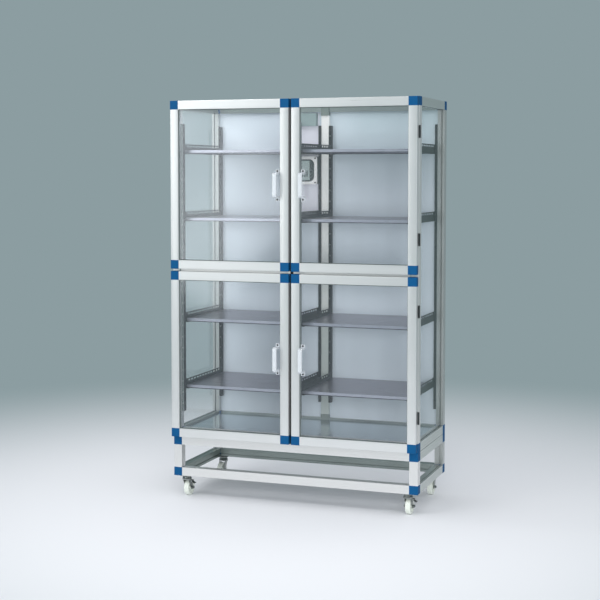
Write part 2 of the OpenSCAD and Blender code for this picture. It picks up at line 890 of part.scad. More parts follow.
// Side outline of a fork leg: x runs along the trail, y upwards
module leg_outline() {
    c = [trail, wheel_r];
    r = 10;
    back = [-14, crown_z - 2];
    polygon([[-14, leg_top.y], back, tangent_point(back, c, r, 1), c,
             tangent_point(leg_top, c, r, -1), leg_top]);
    translate(c) circle(r);
}

module fork(braked) {
    difference() {
        union() {
            translate([0, 0, crown_z]) cylinder(r = crown_r, h = crown_t);
            for (s = [-1, 1]) translate([s > 0 ? leg_x : -leg_x - leg_t, 0, 0]) rotate([90, 0, 90])
                linear_extrude(leg_t) leg_outline();
            if (braked) brake_lugs();
        }
        translate([0, 0, crown_z - 1]) cylinder(r = kingpin_r + axle_play, h = crown_t + 2);
        // Window through which the brake shoe reaches the wheel
        if (braked) translate([leg_x - 1, brake_y - 6, brake_pivot.y - 11]) cube([leg_t + 2, 12, 9.5]);
    }
    // Axle with its two heads
    translate([0, trail, wheel_r]) rotate([0, 90, 0]) {
        translate([0, 0, -leg_x - 1]) cylinder(r = axle_r, h = 2 * (leg_x + 1));
        for (s = [-1, 1]) translate([0, 0, s > 0 ? leg_x + leg_t - EPS : -leg_x - leg_t - axle_head_t])
            cylinder(r = axle_r + 2.5, h = axle_head_t + EPS);
    }
}

module brake_lugs() {
    x = leg_x + leg_t - EPS;
    for (y = [brake_y - 11, brake_y + 8]) translate([x, y, brake_pivot.y - 5]) cube([9, 3, 9]);
    translate([brake_pivot.x, brake_y - 9, brake_pivot.y]) rotate([-90, 0, 0]) cylinder(r = pin_r, h = 18);
}

// Pedal and shoe on one barrel; the pedal is drawn down, with the shoe beside the wheel
module brake_lever() {
    shoe_x = wheel_w / 2 + 0.3 - brake_pivot.x;
    color("dimgray") translate([brake_pivot.x, brake_y, brake_pivot.y]) difference() {
        union() {
            lever_slice(15) union() {
                circle(4);
                polygon([[0, 2.5], [13, -6.5], [13, -10], [10, -10], [-1, -2]]);
            }
            lever_slice(10) translate([shoe_x, -8]) square([-shoe_x, 5.5]);
            lever_slice(18) translate([11, -10]) square([6, 3]);
        }
        lever_slice(20) circle(pin_r + pin_play);
    }
}

module lever_slice(w) {
    translate([0, w / 2, 0]) rotate([90, 0, 0]) linear_extrude(w) children();
}

// Moulded wheel: round-edged tread, recessed sides and a hub that runs on the axle
module wheel() {
    r = 3;
    half = wheel_w / 2;
    rim = wheel_r - 10;
    hub = axle_r + 6;
    web = 4;
    color("ivory") translate([0, trail, wheel_r]) rotate([0, 90, 0]) rotate_extrude($fn = 96) difference() {
        union() {
            translate([axle_r + axle_play, -half]) square([wheel_r - r - axle_r - axle_play, wheel_w]);
            translate([wheel_r - r - EPS, -half + r]) square([r + EPS, wheel_w - 2 * r]);
            for (s = [-1, 1]) translate([wheel_r - r, s * (half - r)]) circle(r);
        }
        for (s = [0, 1]) mirror([0, s])
            polygon([[hub, half + 1], [hub, half - 1], [hub + 1.5, web],
                     [rim - 3, web], [rim, half - 1], [rim, half + 1]]);
    }
}

module castor_fork(sx, sy) {
    color("silver") place_castor(sx, sy) fork(sy == FRONT);
}

module castor_wheel(sx, sy) {
    place_castor(sx, sy) wheel();
}

// ---------- nodes ----------

corner_posts();
centre_posts();
frame_rails();
frame_joint_blocks();
centre_tee_blocks();
side_panels();
back_panels();
top_panel();
floor_panel();
centre_seal();
shelf_standards();
shelf_brackets();
shelf_pair(0);  // shelf_1
shelf_pair(1);  // shelf_2
shelf_pair(2);  // shelf_3
shelf_pair(3);  // shelf_4
dryer_mounting_plate();
dryer_case();
dryer_core();
dryer_bezel();
dryer_control_box();
frame_hinge_leaves();
base_posts();
base_rails();
base_corner_blocks();
castor_plates();
castor_fork(LEFT, FRONT);  // castor_fork_front_left
castor_fork(RIGHT, FRONT);  // castor_fork_front_right
castor_fork(LEFT, REAR);  // castor_fork_rear_left
castor_fork(RIGHT, REAR);  // castor_fork_rear_right
castor_wheel(LEFT, FRONT);  // castor_wheel_front_left
castor_wheel(RIGHT, FRONT);  // castor_wheel_front_right
castor_wheel(LEFT, REAR);  // castor_wheel_rear_left
castor_wheel(RIGHT, REAR);  // castor_wheel_rear_right
place_castor(LEFT, FRONT) brake_lever();  // brake_lever_left
place_castor(RIGHT, FRONT) brake_lever();  // brake_lever_right
door_frame(LEFT, UPPER);  // door_frame_upper_left
door_frame(RIGHT, UPPER);  // door_frame_upper_right
door_frame(LEFT, LOWER);  // door_frame_lower_left
door_frame(RIGHT, LOWER);  // door_frame_lower_right
door_corners(LEFT, UPPER);  // door_corners_upper_left
door_corners(RIGHT, UPPER);  // door_corners_upper_right
door_corners(LEFT, LOWER);  // door_corners_lower_left
door_corners(RIGHT, LOWER);  // door_corners_lower_right
door_panel(LEFT, UPPER);  // door_panel_upper_left
door_panel(RIGHT, UPPER);  // door_panel_upper_right
door_panel(LEFT, LOWER);  // door_panel_lower_left
door_panel(RIGHT, LOWER);  // door_panel_lower_right
door_seal(LEFT, UPPER);  // door_seal_upper_left
door_seal(RIGHT, UPPER);  // door_seal_upper_right
door_seal(LEFT, LOWER);  // door_seal_lower_left
door_seal(RIGHT, LOWER);  // door_seal_lower_right
door_handle(LEFT, UPPER);  // door_handle_upper_left
door_handle(RIGHT, UPPER);  // door_handle_upper_right
door_handle(LEFT, LOWER);  // door_handle_lower_left
door_handle(RIGHT, LOWER);  // door_handle_lower_right
door_hinges(LEFT, UPPER);  // door_hinges_upper_left
door_hinges(RIGHT, UPPER);  // door_hinges_upper_right
door_hinges(LEFT, LOWER);  // door_hinges_lower_left
door_hinges(RIGHT, LOWER);  // door_hinges_lower_right
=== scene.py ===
# %% [markdown]
# # A desiccator cabinet
# The real object is a tall dry-storage cabinet on castors: an aluminium frame joined by blue
# moulded blocks, clear sheets in its sides and top, four clear doors, and trays that hang on
# slotted standards. All of it could be modelled here, but its sizes would then be kept in two
# places. So the measured model is loaded first and never moved, and the cells below give it
# finishes, add the small pieces that it leaves out, and light it.

# %% Load the measured model
import math

import bpy
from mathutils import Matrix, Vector


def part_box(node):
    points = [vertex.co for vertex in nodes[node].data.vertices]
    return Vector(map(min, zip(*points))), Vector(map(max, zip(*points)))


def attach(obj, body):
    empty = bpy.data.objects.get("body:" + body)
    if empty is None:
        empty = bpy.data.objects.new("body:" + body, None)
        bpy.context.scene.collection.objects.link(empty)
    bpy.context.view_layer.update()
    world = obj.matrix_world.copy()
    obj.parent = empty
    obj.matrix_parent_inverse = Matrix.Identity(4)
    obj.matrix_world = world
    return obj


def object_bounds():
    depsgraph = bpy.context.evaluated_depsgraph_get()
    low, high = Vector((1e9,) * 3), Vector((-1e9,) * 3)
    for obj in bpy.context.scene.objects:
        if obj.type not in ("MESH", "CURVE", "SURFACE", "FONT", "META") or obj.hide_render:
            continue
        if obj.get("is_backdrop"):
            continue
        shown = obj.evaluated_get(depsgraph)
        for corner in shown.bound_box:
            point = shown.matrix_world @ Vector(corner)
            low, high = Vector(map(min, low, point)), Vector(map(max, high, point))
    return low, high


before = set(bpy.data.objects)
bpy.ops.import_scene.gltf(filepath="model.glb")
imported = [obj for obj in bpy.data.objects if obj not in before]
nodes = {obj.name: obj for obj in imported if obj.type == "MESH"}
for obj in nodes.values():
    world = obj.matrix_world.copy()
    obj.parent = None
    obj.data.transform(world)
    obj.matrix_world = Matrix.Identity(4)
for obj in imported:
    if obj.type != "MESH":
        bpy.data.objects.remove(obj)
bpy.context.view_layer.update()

# %% [markdown]
# ## Camera
# The cabinet is seen from its right, from a little below its top. A camera that looks down makes
# uprights lean together. Turning it down only a few degrees and shifting the lens by a small
# amount shows the same view with uprights that stay nearly upright.

# %% Make the camera
RENDER_WIDTH = 600  # pixels
FOCAL_LENGTH = 1333.47  # pixels
LENS_DROP = 50  # pixels
SENSOR_WIDTH = 36  # millimetres
LOOK_DOWN, LOOK_LEFT = 3.27, 19.74  # degrees

bpy.ops.object.camera_add(
    location=(2.09661, -5.95387, 1.54062),
    rotation=(math.radians(90 - LOOK_DOWN), 0, math.radians(LOOK_LEFT)),
)
camera = bpy.context.object
camera.data.sensor_width = SENSOR_WIDTH
camera.data.lens = FOCAL_LENGTH / RENDER_WIDTH * SENSOR_WIDTH
camera.data.shift_y = -LENS_DROP / RENDER_WIDTH
camera.data.clip_end = 200
bpy.context.scene.camera = camera
bpy.context.scene.view_settings.view_transform = "Standard"
print("lens", round(camera.data.lens, 2), "mm")

# %% [markdown]
# ## Shader maths
# Node trees are easier to read as sums. This class wraps one output socket; an operator adds a
# Math node and wraps its result. Any other node comes from `node`, which takes its type, its
# settings and the values or links of its sockets.


# %% A socket that can be added and multiplied
class S:
    """An output socket of a node tree, for use in sums."""

    def __init__(self, tree, socket):
        self.tree, self.socket = tree, socket

    def math(self, operation, *others):
        values = dict(enumerate((self,) + others))
        return node(self.tree, "ShaderNodeMath", dict(operation=operation), values)[0]

    def __add__(self, b):
        return self.math("ADD", b)

    def __radd__(self, b):
        return self.math("ADD", b)

    def __sub__(self, b):
        return self.math("SUBTRACT", b)

    def __rsub__(self, a):
        return (self * -1) + a

    def __mul__(self, b):
        return self.math("MULTIPLY", b)

    def __rmul__(self, b):
        return self.math("MULTIPLY", b)

    def __truediv__(self, b):
        return self.math("DIVIDE", b)

    def clamp(self):
        return self.math("MAXIMUM", 0.0).math("MINIMUM", 1.0)

    def step(self, edge):
        """1 where the value is past the edge and 0 elsewhere."""
        return self.math("GREATER_THAN", edge)


def node(tree, kind, settings=None, values=None):
    """Adds a node, sets it up, links or fills its sockets and returns its outputs."""
    made = tree.nodes.new(kind)
    for name, value in (settings or {}).items():
        setattr(made, name, value)
    for name, value in (values or {}).items():
        socket = made.inputs[name]
        if isinstance(value, S):
            tree.links.new(value.socket, socket)
        else:
            socket.default_value = value
    return [S(tree, out) for out in made.outputs]


OBJECT_PLACE, SURFACE_NORMAL = 3, 1  # outputs of a Texture Coordinate node


def coordinates(tree, which=OBJECT_PLACE):
    return node(tree, "ShaderNodeTexCoord")[which]


def split(tree, vector):
    """The X, Y and Z of a vector."""
    return node(tree, "ShaderNodeSeparateXYZ", None, {0: vector})


def rgb(r, g, b):
    """A colour given as it looks on screen, 0 to 255, as the linear values that nodes use."""
    def linear(v):
        v = v / 255
        return v / 12.92 if v <= 0.04045 else ((v + 0.055) / 1.055) ** 2.4
    return (linear(r), linear(g), linear(b), 1)


print("shader maths ready")

# %% [markdown]
# ## Floor and backdrop
# A studio sweep is a pale floor that rises into a grey-green wall. It could be a curved sheet,
# but that has a back, which shows from behind the cabinet. Here the floor is one wide disc whose
# pale colour fades with distance into the colour of the sky, so no edge shows from any side. The
# world shows that colour to the camera, to shiny surfaces and through clear sheets, and gives
# everything else a plain pale fill, which keeps the shadows soft.

# %% Paint the world
BACKDROP = rgb(140, 157, 161)
SHADOW_FILL = rgb(236, 240, 243)

world = bpy.data.worlds.new("studio")
bpy.context.scene.world = world
world.use_nodes = True
tree = world.node_tree
tree.nodes.clear()
rays = node(tree, "ShaderNodeLightPath")
camera_ray, glossy_ray, transmission_ray = rays[0], rays[3], rays[6]
seen = (camera_ray + glossy_ray + transmission_ray).clamp()
backdrop = node(tree, "ShaderNodeBackground", None, {"Color": BACKDROP, "Strength": 1.0})[0]
fill = node(tree, "ShaderNodeBackground", None, {"Color": SHADOW_FILL, "Strength": 0.8})[0]
mixed = node(tree, "ShaderNodeMixShader", None, {0: seen, 1: fill, 2: backdrop})[0]
node(tree, "ShaderNodeOutputWorld", None, {"Surface": mixed})
print("world painted")

# %% Lay the floor
FLOOR_RADIUS = 90
FADE_START, FADE_LENGTH = 0.8, 3.2  # metres, out from the middle of the cabinet

bpy.ops.object.select_all(action="DESELECT")
bpy.ops.mesh.primitive_circle_add(vertices=96, radius=FLOOR_RADIUS, fill_type="NGON",
                                  location=(0, 0, 0))
floor = bpy.context.object
floor.name = "studio_floor"
floor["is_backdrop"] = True
pale_floor = bpy.data.materials.new("pale_floor")
pale_floor.use_nodes = True
tree = pale_floor.node_tree
tree.nodes.clear()
x, y, _ = split(tree, coordinates(tree))
radius = (x * x + y * y).math("SQRT")
far = ((radius - FADE_START) / FADE_LENGTH).clamp()
far = far * far * (3 - 2 * far)  # eases in and out
pale = node(tree, "ShaderNodeBsdfPrincipled", None,
            {"Base Color": rgb(240, 241, 245), "Roughness": 0.85})[0]
glow = node(tree, "ShaderNodeEmission", None, {"Color": BACKDROP, "Strength": 1.0})[0]
mixed = node(tree, "ShaderNodeMixShader", None, {0: far, 1: pale, 2: glow})[0]
node(tree, "ShaderNodeOutputMaterial", None, {"Surface": mixed})
floor.data.materials.append(pale_floor)
print("floor laid, radius", FLOOR_RADIUS, "m")

# %% [markdown]
# ## Lamps
# Metal and clear sheets show the lamps themselves. Point lamps or a sun would leave hard spots in
# them, so each lamp here is a wide area lamp, as a soft box is. The boxes in front of the
# cabinet's left side brighten the upper doors, one over the floor keeps it pale, and a strong one
# gives the plain light of the room. The doors would mirror that strong one as a white patch, so
# it is left out of reflections.


# %% Hang the lamps
def softbox(name, place, target, width, height, power, roll=0):
    """An area lamp aimed at a point; roll turns it round its own axis, in degrees."""
    bpy.ops.object.light_add(type="AREA", location=place)
    lamp = bpy.context.object
    lamp.name = name
    lamp.data.shape = "RECTANGLE"
    lamp.data.size, lamp.data.size_y = width, height
    lamp.data.energy = power
    aim = Vector(target) - Vector(place)
    lamp.rotation_euler = aim.to_track_quat("-Z", "Y").to_euler()
    lamp.rotation_euler.rotate_axis("Z", math.radians(roll))
    lamp.visible_camera = False
    return lamp


softbox("front_softbox", (-3.7, -6.2, 1.7), (-0.6, 0, 1.3),
        width=3.0, height=1.6, power=30, roll=-38)
softbox("key_softbox", (-2.2, -3.0, 3.3), (-0.35, 0.25, 1.5), width=2.2, height=1.6, power=26)
softbox("left_top_softbox", (-0.7, -0.3, 2.7), (-0.3, 0.27, 1.5), width=0.6, height=0.5, power=5)
room = softbox("room_softbox", (2.3, -5.4, 1.3), (0, 0, 0.9), width=2.2, height=1.8, power=172)
room.visible_glossy = False
softbox("fill_softbox", (3.8, -3.6, 2.8), (0.2, 0, 1.0), width=2.2, height=2.2, power=20)
softbox("floor_softbox", (0.0, -3.4, 4.4), (0, -1.6, 0), width=3.4, height=1.6, power=38)

# %% [markdown]
# ## Finishes
# A painted-on texture would stretch on long bars and show its edges, so every finish is worked
# out from the object's own coordinates instead, and its grain stays on the piece from any side.
# Each finish is one function that starts a material with a Principled shader. The steps that they
# share are gathered here.


# %% Start a material
GRAIN_DEPTH = 0.0001  # metres


def finish_of(name, **values):
    """A material with a Principled shader: returns it with its tree, shader and coordinates."""
    made = bpy.data.materials.new(name)
    made.use_nodes = True
    tree = made.node_tree
    shader = tree.nodes["Principled BSDF"]
    for key, value in values.items():
        shader.inputs[key.replace("_", " ")].default_value = value
    return made, tree, shader, coordinates(tree)


def wire(tree, socket, shader, name):
    tree.links.new(socket.socket, shader.inputs[name])


def noise(tree, place, scale=1.0, detail=2.0, roughness=0.55, stretch=(1, 1, 1)):
    """A noise from 0 to 1; a high stretch along an axis makes it fine along that axis."""
    moved = node(tree, "ShaderNodeMapping", None, {"Vector": place, "Scale": stretch})[0]
    return node(tree, "ShaderNodeTexNoise", None,
                {"Vector": moved, "Scale": scale, "Detail": detail, "Roughness": roughness})[0]


def blend_colours(tree, amount, a, b):
    return node(tree, "ShaderNodeMix", dict(data_type="RGBA"), {0: amount, 6: a, 7: b})[2]


def darker(colour, share):
    """A colour with its values multiplied by share."""
    return tuple(value * share for value in colour[:3]) + (1,)


def bumps(tree, shader, height, strength, distance=GRAIN_DEPTH):
    out = node(tree, "ShaderNodeBump", None,
               {"Strength": strength, "Distance": distance, "Height": height})[0]
    wire(tree, out, shader, "Normal")


def tone_over(material, amount, colour):
    """Blends a colour over a finish; amount takes the place and the normal, each as X, Y, Z."""
    tree = material.node_tree
    shader = tree.nodes["Principled BSDF"]
    place, normal = [split(tree, coordinates(tree, i)) for i in (OBJECT_PLACE, SURFACE_NORMAL)]
    under = S(tree, shader.inputs["Base Color"].links[0].from_socket)
    wire(tree, blend_colours(tree, amount(place, normal), under, colour), shader, "Base Color")


def dress(material, *names):
    """Gives a finish to nodes of the measured model."""
    for name in names:
        for slot in nodes[name].material_slots:
            slot.material = material


door_keys = [f"{level}_{side}" for level in ("upper", "lower") for side in ("left", "right")]
castor_keys = [f"{end}_{side}" for end in ("front", "rear") for side in ("left", "right")]
print("helpers ready for", len(door_keys), "doors and", len(castor_keys), "castors")


# %% [markdown]
# ### Anodised aluminium sections
# Extruded bars leave the die with faint lines along their length. One grain for all would run
# across half of the bars, because one node holds upright and level bars. So grains stretched
# along different axes are made, and masks by height and by distance from the middle pick one.
# The bars' faces are slightly crowned, which a bump gives without more faces, and the bars at the
# sides and at the back are darkened by a painted shade, greyer on the left side.

# %% Anodised aluminium
ALUMINIUM = rgb(228, 228, 227)
# Painted shade: the side bars and the rear bars are blended towards these colours.
SIDE_SHADE, LEFT_SIDE_SHADE = rgb(138, 158, 150), rgb(84, 104, 96)
REAR_SHADE, REAR_FROM = rgb(110, 128, 124), 0.15  # the Y past which a bar is at the rear
DIE_LINES = {"X": (2, 500, 500), "Y": (500, 2, 500), "Z": (500, 500, 2)}
DIE_LINE_DEPTH = 0.00001
CROWN = 2.4  # times the square of the distance from a bar's middle
SIDE_SHADE_SHARE, LEFT_SIDE_SHADE_SHARE = 0.4, 0.6  # shares of the side tones
NO_SIDES = 1.0  # metres from the middle, past every piece


def anodised(name, along="Z", level_bands=(), sides=None, stiles=None, rear=0.0, metal=0.7,
             tint=ALUMINIUM):
    """Aluminium with die lines along Z or X.

    Between the heights of level_bands the lines run along X. Past the distance sides from the
    middle they run along Y, and a painted shade greys them, more on the left side. Two stiles,
    given by the X of their middles, are crowned by a millimetre. Pieces at the rear are darkened
    by a painted shade, by the share rear.
    """
    made, tree, shader, place = finish_of(name, Metallic=metal)

    def die_lines(axis):
        return noise(tree, place, roughness=0.6, stretch=DIE_LINES[axis])

    lines = die_lines(along)
    x, y, z = split(tree, place)
    level = 0.0
    for low, high in level_bands:
        level = z.step(low) * (1 - z.step(high)) + level
    if level_bands:
        lines = lines * (1 - level) + die_lines("X") * level
    side = x.math("ABSOLUTE").step(sides or NO_SIDES)
    if sides:
        lines = lines * (1 - side) + die_lines("Y") * side
    cloud = noise(tree, place, scale=6.0)
    colour = blend_colours(tree, (lines * 0.6 + cloud * 0.4).clamp(), darker(tint, 0.9), tint)
    # Painted shade on the side bars, darker on the left, and on the bars at the rear:
    if sides:
        colour = blend_colours(tree, side * SIDE_SHADE_SHARE, colour, SIDE_SHADE)
        left_side = (x * -1).step(sides)
        colour = blend_colours(tree, left_side * LEFT_SIDE_SHADE_SHARE, colour, LEFT_SIDE_SHADE)
    colour = blend_colours(tree, y.step(REAR_FROM) * (1 - side) * rear, colour, REAR_SHADE)
    wire(tree, colour, shader, "Base Color")
    wire(tree, lines * 0.16 + cloud * 0.1 + 0.2, shader, "Roughness")
    height = lines * DIE_LINE_DEPTH
    if stiles:
        left, right = stiles
        on_right = x.step((left + right) / 2)
        away = x - left - on_right * (right - left)
        height = height - away * away * (1 - level) * CROWN
    bumps(tree, shader, height, strength=1.0, distance=1.0)
    return made


SECTION = 0.041  # the width of a door's bars
BAND = 0.0406  # just under the height of a level bar
PAST_EDGE = 0.001
for key in door_keys:
    low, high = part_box(f"door_frame_{key}")
    bands = ((low.z - PAST_EDGE, low.z + BAND), (high.z - BAND, high.z + PAST_EDGE))
    stiles = (low.x + SECTION / 2, high.x - SECTION / 2)
    dress(anodised(f"door_section_{key}", "Z", bands, stiles=stiles, tint=rgb(229, 230, 230)),
          f"door_frame_{key}")
# Painted shade: posts at the rear are darkened by the share rear.
dress(anodised("post_section", "Z", rear=0.4), "corner_posts", "base_posts")

# Painted shade: the lower part of the centre posts is blended towards grey-green.
CENTRE_SHADE_BELOW = 1.3  # below this height the centre posts turn grey-green
CENTRE_FADE, CENTRE_SHADE_SHARE = 1.6, 0.6  # how fast per metre, and how far


def shaded_lower_part(place, normal):
    return ((CENTRE_SHADE_BELOW - place[2]) * CENTRE_FADE).clamp() * CENTRE_SHADE_SHARE


centre = anodised("centre_section", "Z", metal=0.3, tint=rgb(252, 252, 250))
tone_over(centre, shaded_lower_part, rgb(150, 168, 160))
dress(centre, "centre_posts")
RAIL_ENDS = 0.5585  # the side rails lie past this distance from the middle
# Painted shade: the side rails are greyed, and rails at the rear are darkened by the share rear.
dress(anodised("rail_section", "X", sides=RAIL_ENDS, rear=0.75), "frame_rails", "base_rails")
print("aluminium finished:", len(door_keys), "door frames, posts, centre posts and rails")


# %% [markdown]
# ### Blue moulded blocks
# The blocks are glass-filled nylon: a strong blue with a soft sheen and a fine spark-eroded
# grain. The grain could be modelled, but at a tenth of a millimetre a bump is enough. The same
# function serves every moulded or painted piece, with its own colour, grain and gloss.

# %% Blue nylon
def moulded(name, colour, grain=0.35, gloss=0.42, shade=0.82, **more):
    """A moulded surface; shade is how dark its cloudy patches get."""
    made, tree, shader, place = finish_of(name, **more)
    fine = noise(tree, place, scale=900.0)
    cloud = noise(tree, place, scale=25.0, detail=3.0)
    tone = blend_colours(tree, cloud.clamp(), darker(colour, shade), colour)
    wire(tree, tone, shader, "Base Color")
    wire(tree, fine * 0.12 + cloud * 0.1 + (gloss - 0.11), shader, "Roughness")
    bumps(tree, shader, fine, grain)
    return made


dress(moulded("blue_nylon", rgb(14, 80, 128), gloss=0.6, Specular_IOR_Level=0.12),
      "frame_joint_blocks", "base_corner_blocks", *[f"door_corners_{key}" for key in door_keys])
# The tee blocks are blue nylon like the other blocks; their grey-green colour is painted shade.
dress(moulded("tee_shade_grey", rgb(120, 134, 128), grain=0.3, gloss=0.45), "centre_tee_blocks")
print("blocks finished")


# %% [markdown]
# ### Clear sheet
# The doors, sides and top hold clear plastic. True refraction would be slow and would darken the
# inside, because little light finds its way through two sheets. So the surface is mostly
# see-through by its alpha, with a slight blue or green cast, a faint haze, and a veil that grows
# at grazing angles. What it keeps is mostly mirror-like, as the gloss of the real sheet is.

# %% Clear sheet
VEIL, EDGE_VEIL, HAZE = 0.07, 0.1, 0.03  # shares of alpha: square on, at the edge, in patches
SHEET_GLOSS = 0.1


def clear_sheet(name, tint):
    made, tree, shader, place = finish_of(name, Metallic=0.8, Roughness=SHEET_GLOSS, IOR=1.49)
    haze = noise(tree, place, scale=3.0)
    facing = node(tree, "ShaderNodeLayerWeight", None, {"Blend": 0.3})[1]
    alpha = haze * HAZE + facing * EDGE_VEIL + (VEIL - HAZE / 2)
    wire(tree, alpha.clamp(), shader, "Alpha")
    wire(tree, blend_colours(tree, haze, tint, rgb(236, 242, 246)), shader, "Base Color")
    return made


dress(clear_sheet("door_sheet", rgb(226, 234, 244)), *[f"door_panel_{key}" for key in door_keys])
dress(clear_sheet("wall_sheet", rgb(190, 214, 208)), "side_panels", "top_panel")
print("clear sheets finished")


# %% [markdown]
# ### Satin back sheet
# The back is closed by two opaque lacquered sheets. A flat grey would look like card, so soft
# upright streaks from the rolling vary its tone, and finer ones its gloss. The upper part of the
# right sheet is darker, a painted shade that a mask by height and by side gives.

# %% Satin back sheet
# A painted shade on the upper right of the back sheet:
BACK_SHADE_FROM_Z, BACK_SHADE_RISE = 1.45, 0.4
BACK_SHADE_FROM_X, BACK_SHADE_RUN = 0.1, 0.3  # it starts this far to the left of the middle
BACK_SHADE_SHARE = 0.75


def satin_sheet(name, colour, painted_shade_colour):
    made, tree, shader, place = finish_of(name, Metallic=0.1)
    streaks = noise(tree, place, roughness=0.5, stretch=(14, 14, 0.5))
    fine = noise(tree, place, roughness=0.5, stretch=(600, 600, 6))
    tone = blend_colours(tree, (streaks * 0.8 + fine * 0.2).clamp(), darker(colour, 0.82), colour)
    x, _, z = split(tree, place)
    # Painted shade, darker towards the top right:
    painted_shade = ((z - BACK_SHADE_FROM_Z) / BACK_SHADE_RISE).clamp() * ((x + BACK_SHADE_FROM_X) / BACK_SHADE_RUN).clamp()
    wire(tree, blend_colours(tree, painted_shade * BACK_SHADE_SHARE, tone, painted_shade_colour), shader, "Base Color")
    wire(tree, fine * 0.12 + streaks * 0.1 + 0.3, shader, "Roughness")
    bumps(tree, shader, fine, 0.06)
    return made


dress(satin_sheet("back_sheet", rgb(226, 238, 248), rgb(168, 190, 196)), "back_panels")
print("back sheets finished")


# %% [markdown]
# ### Sheet metal
# Trays, floor, castors and hinges are steel, and the standards and brackets are steel coloured
# nearly black; on the standards that black is painted shade and painted dark reflection, and
# their front flanges are made paler with painted light. Rolled sheet shows long fine lines in
# one direction. They could be scratches in a bump alone, but the eye reads them mostly in the
# gloss, so the roughness carries them more than the colour and the bump do. A tray's front lip
# is made paler than its top with a painted highlight, and a painted shade darkens the hem at its
# foot.

# %% Sheet metal
ROLLING_LINES = {"X": (3, 420, 420), "Y": (420, 3, 420), "Z": (420, 420, 3)}
# A painted shade darkens this height at the foot of a tray's lip.
HEM_SHADE_HEIGHT = 0.0035  # of the dark folded edge at the foot of a tray's lip
# Painted light: the front flanges of the front standards are made paler by this share.
FLANGE_LIGHT_SHARE = 0.8  # how far the flanges of the front standards turn grey
MIDDLE_Y = 0.0  # the front standards stand before it


def sheet_metal(name, colour, metallic=1.0, gloss=0.3, along="X"):
    made, tree, shader, place = finish_of(name, Metallic=metallic)
    lines = noise(tree, place, detail=3.0, roughness=0.6, stretch=ROLLING_LINES[along])
    cloud = noise(tree, place, scale=9.0, detail=3.0)
    tone = blend_colours(tree, (lines * 0.7 + cloud * 0.3).clamp(), darker(colour, 0.8), colour)
    wire(tree, tone, shader, "Base Color")
    wire(tree, lines * 0.2 + cloud * 0.1 + (gloss - 0.15), shader, "Roughness")
    bumps(tree, shader, lines, 0.1)
    return made


def faces_front(normal):
    """1 on the faces that look to the front, towards -Y, and 0 on the others."""
    return (normal[1] * -1).step(0.7)


for name in ("shelf_1", "shelf_2", "shelf_3", "shelf_4"):
    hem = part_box(name)[0].z + HEM_SHADE_HEIGHT
    tray = sheet_metal(f"tray_steel_{name[-1]}", rgb(150, 143, 157), metallic=0.85)
    # Painted highlight on the front faces, and painted shade on the foot of the lip:
    tone_over(tray, lambda place, normal: faces_front(normal), rgb(186, 187, 200))
    tone_over(tray, lambda place, normal: faces_front(normal) * (1 - place[2].step(hem)),
              rgb(66, 66, 76))
    dress(tray, name)
dress(sheet_metal("floor_steel", rgb(170, 188, 196), gloss=0.18), "floor_panel")
# The standards' near-black colour is painted shade and painted dark reflection.
standard = sheet_metal("standard_steel", rgb(12, 17, 17), metallic=0.1, gloss=0.55, along="Z")
tone_over(standard,
          lambda place, normal: faces_front(normal) * (1 - place[1].step(MIDDLE_Y)) * FLANGE_LIGHT_SHARE,
          rgb(128, 138, 138))
dress(standard, "shelf_standards")
dress(sheet_metal("bracket_steel", rgb(16, 28, 26), metallic=0.15, gloss=0.52, along="Y"),
      "shelf_brackets")
dress(sheet_metal("castor_zinc", rgb(170, 174, 172), gloss=0.34), "castor_plates",
      *[f"castor_fork_{key}" for key in castor_keys])
dress(sheet_metal("hinge_steel", rgb(96, 98, 100), gloss=0.34, along="Z"), "frame_hinge_leaves",
      *[f"door_hinges_{key}" for key in door_keys])
print("sheet metal finished")

# %% [markdown]
# ### Rubber, plastics and paint
# The seals are black rubber, and in the gap between the doors the black of the centre seal is
# also painted shade. The pulls are a milky plastic that lets some light through, the wheels pale
# nylon, and the dryer a mix of moulded and painted parts. They differ in colour, grain and gloss
# and not in kind, so the blocks' finish is used again instead of a function for each. The pulls
# get their milky look from a plain alpha, because scattering inside them wouldn't show at their
# size.

# %% Rubber, plastics and paint
# The black of the centre seal in the gap between the doors is partly painted shade.
dress(moulded("black_rubber_and_gap_shade", rgb(28, 29, 31), grain=0.3, gloss=0.66), "centre_seal",
      *[f"door_seal_{key}" for key in door_keys])
dress(moulded("handle_plastic", rgb(226, 231, 236), grain=0.12, gloss=0.3, shade=0.94, Alpha=0.55),
      *[f"door_handle_{key}" for key in door_keys])
dress(moulded("dryer_case_plastic", rgb(104, 124, 122), grain=0.3, gloss=0.6), "dryer_case")
dress(moulded("dryer_core_plastic", rgb(186, 206, 204), grain=0.3, gloss=0.5), "dryer_core")
dress(moulded("bezel_plastic", rgb(255, 255, 255), grain=0.1, gloss=0.28, shade=0.99),
      "dryer_bezel")
dress(moulded("plate_paint", rgb(232, 234, 244), grain=0.25, gloss=0.4, shade=0.97),
      "dryer_mounting_plate")
dress(moulded("control_paint", rgb(140, 160, 160), grain=0.3, gloss=0.5, shade=0.92),
      "dryer_control_box")
dress(moulded("lever_paint", rgb(52, 58, 56), grain=0.3, gloss=0.4),
      "brake_lever_left", "brake_lever_right")
dress(moulded("wheel_nylon", rgb(214, 220, 212), grain=0.15, gloss=0.38, shade=0.94),
      *[f"castor_wheel_{key}" for key in castor_keys])
print("rubber, plastics and paint finished")

# %% [markdown]
# ## Small pieces
# The measured model leaves out screw heads, nuts, the dryer's vent plate and the soft strips that
# hold the clear sheets. They are modelled by hand here: a primitive is added, shaped in edit
# mode, and copied where it repeats. A copy gets its own mesh, so that its place can be written
# into it.


